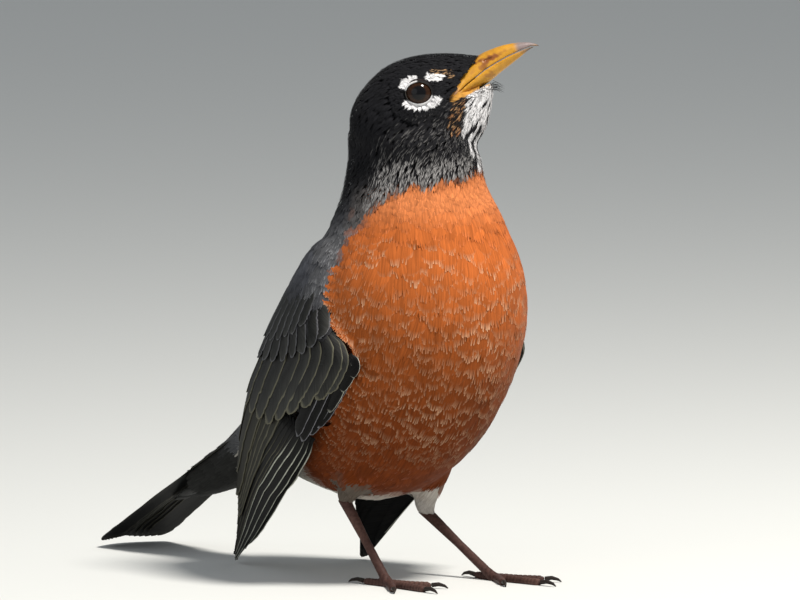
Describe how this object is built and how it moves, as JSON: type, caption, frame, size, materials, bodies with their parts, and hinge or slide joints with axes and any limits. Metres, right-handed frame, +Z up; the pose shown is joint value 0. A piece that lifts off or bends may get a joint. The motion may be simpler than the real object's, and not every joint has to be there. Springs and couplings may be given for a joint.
{
  "type": "american robin",
  "caption": "Life-size standing songbird model with raised head, drooped wings, spread toes and a lowered tail, resting on its feet and wing tips.",
  "frame": {"origin": "centre of the bounding box at the floor, between the feet and the tail's middle", "axes": "+Z up; the bird faces -Y with its tail towards +Y; +X to the bird's left"},
  "size_m": [0.071, 0.1642, 0.1501],
  "materials": {
    "breast_feathers": "rust-orange body feathers with thin pale fringes, soft and matte",
    "grey_feathers": "slate-grey back, rump and neck feathers, soft and matte",
    "head_feathers": "black head feathers with a faint sheen, grizzled cheek and white-streaked throat",
    "wing_feathers": "dark grey-brown coverts and secondaries with paler edges",
    "quill_feathers": "blackish flight and tail feathers with thin white outer edges",
    "vent_feathers": "whitish vent and leg feathers, fluffy",
    "bill": "yellow-orange horn, satin, with a dusky tip",
    "eye": "wet dark brown eye",
    "leg_skin": "brown scaled leg skin, satin",
    "claw": "dark horn, satin"
  },
  "bodies": {
    "root": {"trunk": "breast_feathers", "neck": "grey_feathers", "head": "head_feathers", "bill_upper": "bill", "bill_lower": "bill", "eye_right": "eye", "eye_left": "eye", "tail": "quill_feathers", "tail_coverts": "grey_feathers", "wing_right_coverts": "wing_feathers", "wing_right_secondaries": "wing_feathers", "wing_right_primaries": "quill_feathers", "thigh_right": "vent_feathers", "tarsus_right": "leg_skin", "foot_right": "leg_skin", "claw_right_middle": "claw", "claw_right_inner": "claw", "claw_right_outer": "claw", "claw_right_hind": "claw", "wing_left_coverts": "wing_feathers", "wing_left_secondaries": "wing_feathers", "wing_left_primaries": "quill_feathers", "thigh_left": "vent_feathers", "tarsus_left": "leg_skin", "foot_left": "leg_skin", "claw_left_middle": "claw", "claw_left_inner": "claw", "claw_left_outer": "claw", "claw_left_hind": "claw"}
  },
  "joints": []
}
